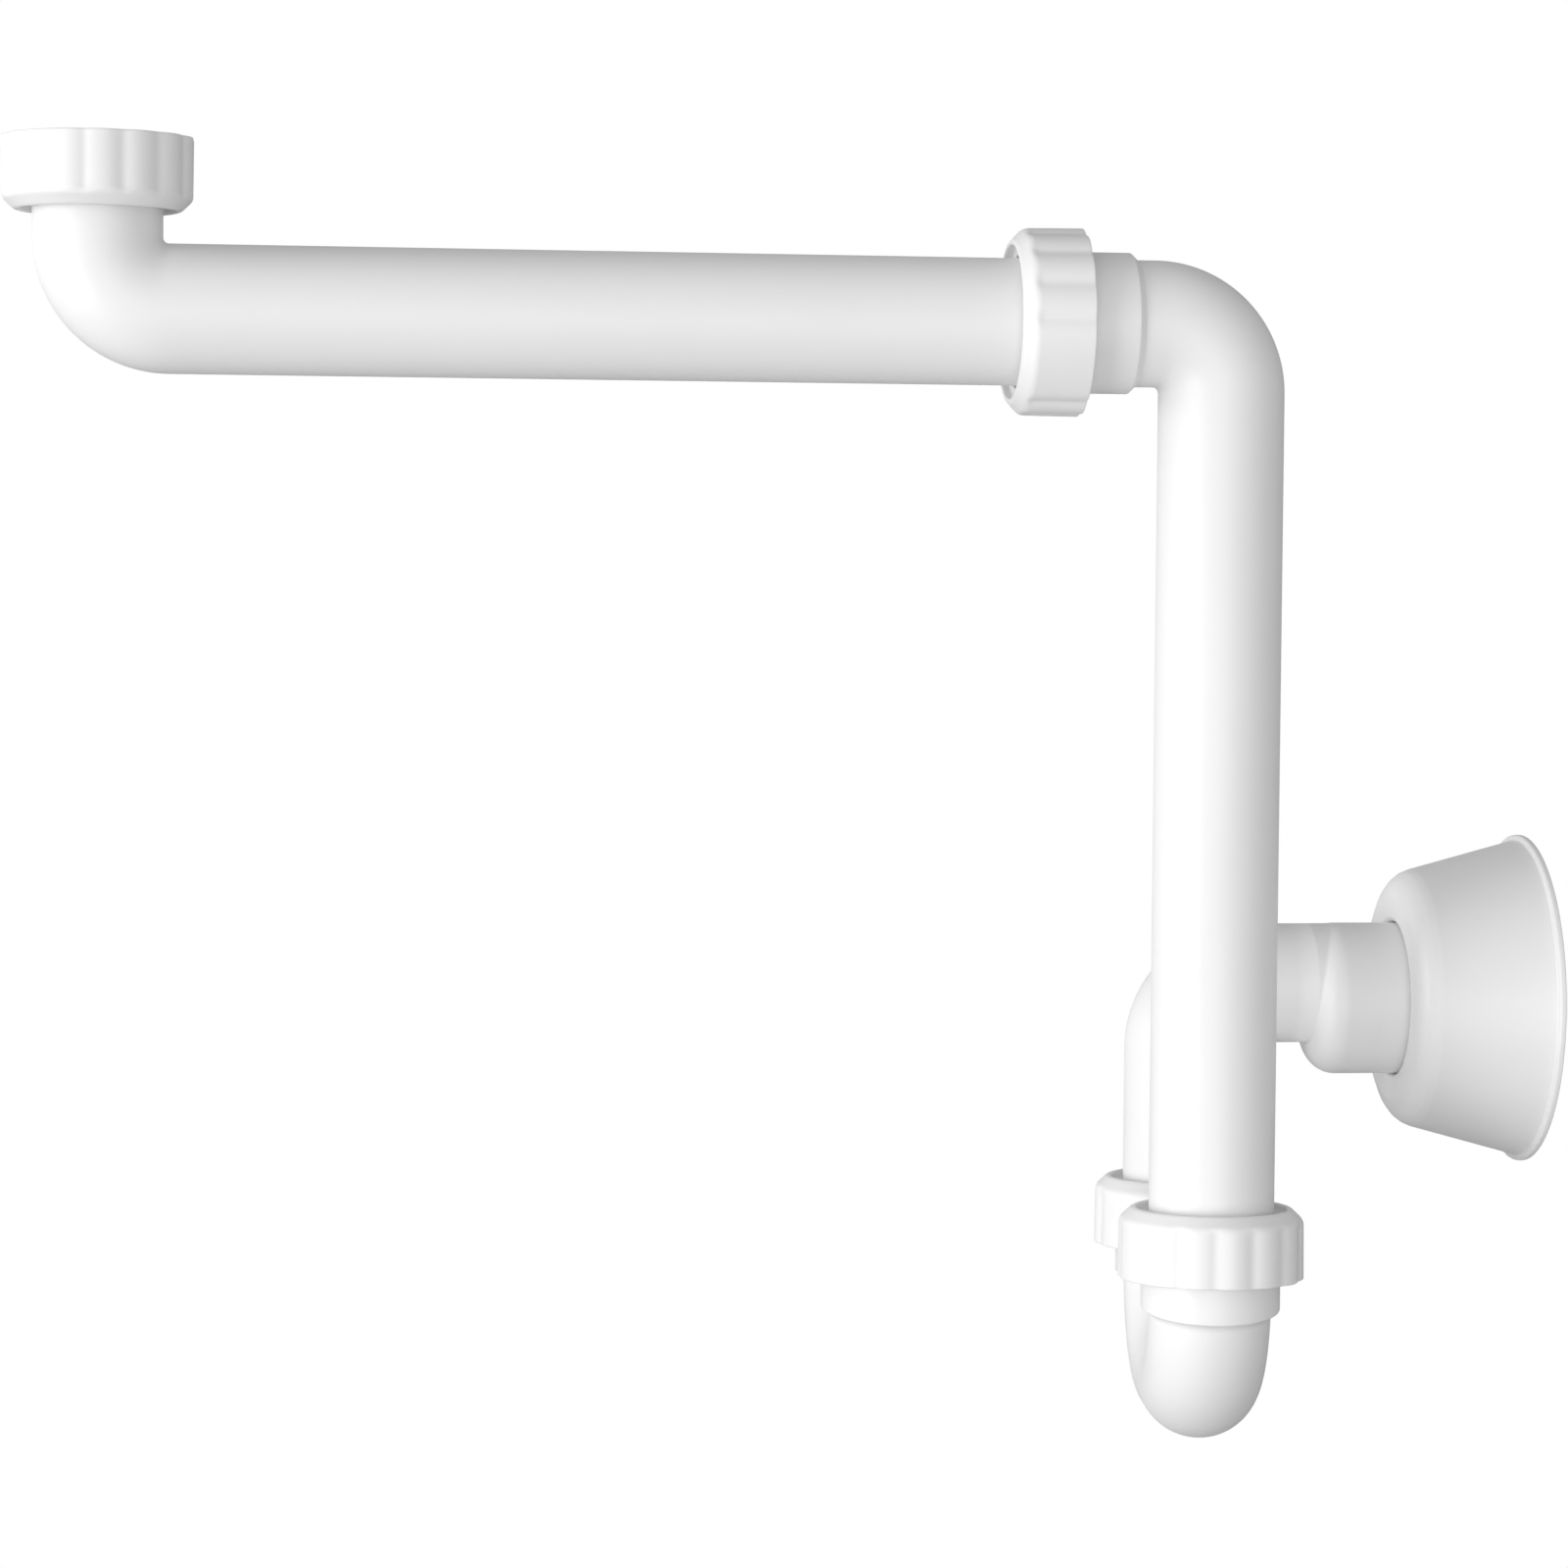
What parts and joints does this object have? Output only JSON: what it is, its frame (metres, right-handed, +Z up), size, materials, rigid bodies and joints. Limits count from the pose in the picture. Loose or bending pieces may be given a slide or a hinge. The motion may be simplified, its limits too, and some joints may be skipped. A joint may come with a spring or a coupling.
{
  "type": "p trap",
  "caption": "Space-saving sink trap in white plastic: a long inlet arm, a downpipe and a U-bend behind it, joined by lobed union nuts, with an offset wall outlet and a deep escutcheon.",
  "frame": {"origin": "on the wall spigot's axis, in the plane of the finished wall, which is also the escutcheon's rim face", "axes": "+X along the spigot into the wall, +Z up, +Y away from the viewer, towards the outlet side"},
  "size_m": [0.5036, 0.161, 0.4064],
  "materials": {
    "pipe_plastic": "smooth moulded gloss",
    "nut_plastic": "smooth moulded gloss",
    "escutcheon_plastic": "smooth moulded gloss",
    "ring_plastic": "satin moulded",
    "seal_rubber": "matte"
  },
  "bodies": {
    "outlet": {"outlet_pipe": "pipe_plastic"},
    "escutcheon": {"wall_escutcheon": "escutcheon_plastic"},
    "outlet_seal": {"trap_outlet_seal": "seal_rubber"},
    "bend": {"trap_bend": "pipe_plastic"},
    "outlet_ring": {"trap_outlet_thrust_ring": "ring_plastic"},
    "outlet_nut": {"trap_outlet_nut": "nut_plastic"},
    "inlet_seal": {"trap_inlet_seal": "seal_rubber"},
    "inlet_ring": {"trap_inlet_thrust_ring": "ring_plastic"},
    "trap_nut": {"trap_inlet_nut": "nut_plastic"},
    "downpipe": {"downpipe": "pipe_plastic"},
    "arm_seal_body": {"arm_seal": "seal_rubber"},
    "arm_ring_body": {"arm_thrust_ring": "ring_plastic"},
    "arm_nut_body": {"arm_nut": "nut_plastic"},
    "arm": {"inlet_arm": "pipe_plastic", "inlet_washer": "seal_rubber"},
    "inlet_nut_body": {"inlet_nut": "nut_plastic"}
  },
  "joints": [
    {"name": "escutcheon_slide", "type": "slide", "parent": "outlet", "child": "escutcheon", "axis": [1, 0, 0], "range_m": [-0.018, 0]},
    {"name": "trap_outlet_depth", "type": "slide", "parent": "outlet", "child": "outlet_seal", "axis": [0, 0, 1], "range_m": [-0.01, 0.004]},
    {"name": "trap_swivel", "type": "hinge", "parent": "outlet_seal", "child": "bend", "pos_m": [-0.1141, 0, -0.081], "axis": [0, 0, 1], "range_deg": [-90, 30]},
    {"name": "trap_outlet_ring_travel", "type": "slide", "parent": "bend", "child": "outlet_ring", "axis": [0, 0, 1], "range_m": [0, 0.007]},
    {"name": "trap_outlet_nut_turn", "type": "hinge", "parent": "outlet_ring", "child": "outlet_nut", "pos_m": [-0.1141, 0, -0.081], "axis": [0, 0, 1], "range_deg": [0, 1080]},
    {"name": "downpipe_swivel", "type": "hinge", "parent": "bend", "child": "inlet_seal", "pos_m": [-0.12143, -0.07755, -0.081], "axis": [0, 0, 1], "range_deg": [-90, 90]},
    {"name": "downpipe_depth", "type": "slide", "parent": "inlet_seal", "child": "downpipe", "axis": [0, 0, 1], "range_m": [-0.004, 0.01]},
    {"name": "trap_inlet_ring_travel", "type": "slide", "parent": "bend", "child": "inlet_ring", "axis": [0, 0, 1], "range_m": [0, 0.007]},
    {"name": "trap_inlet_nut_turn", "type": "hinge", "parent": "inlet_ring", "child": "trap_nut", "pos_m": [-0.12143, -0.07755, -0.081], "axis": [0, 0, 1], "range_deg": [0, 1080]},
    {"name": "arm_roll", "type": "hinge", "parent": "downpipe", "child": "arm_seal_body", "pos_m": [-0.16643, -0.07755, 0.2177], "axis": [1, 0, 0], "range_deg": [-90, 90]},
    {"name": "arm_depth", "type": "slide", "parent": "arm_seal_body", "child": "arm", "axis": [1, 0, 0], "range_m": [-0.012, 0.004]},
    {"name": "arm_ring_travel", "type": "slide", "parent": "downpipe", "child": "arm_ring_body", "axis": [-1, 0, 0], "range_m": [0, 0.007]},
    {"name": "arm_nut_turn", "type": "hinge", "parent": "arm_ring_body", "child": "arm_nut_body", "pos_m": [-0.16643, -0.07755, 0.2177], "axis": [-1, 0, 0], "range_deg": [0, 1080]},
    {"name": "inlet_nut_spin", "type": "hinge", "parent": "arm", "child": "inlet_nut_body", "pos_m": [-0.46873, -0.07755, 0.2691], "axis": [0, 0, -1], "continuous": true}
  ],
  "couplings": [
    {"joint": "trap_outlet_ring_travel", "follows": "trap_outlet_nut_turn", "m_per_rad": 0.00036749},
    {"joint": "trap_inlet_ring_travel", "follows": "trap_inlet_nut_turn", "m_per_rad": 0.00036749},
    {"joint": "arm_ring_travel", "follows": "arm_nut_turn", "m_per_rad": 0.00036749}
  ]
}
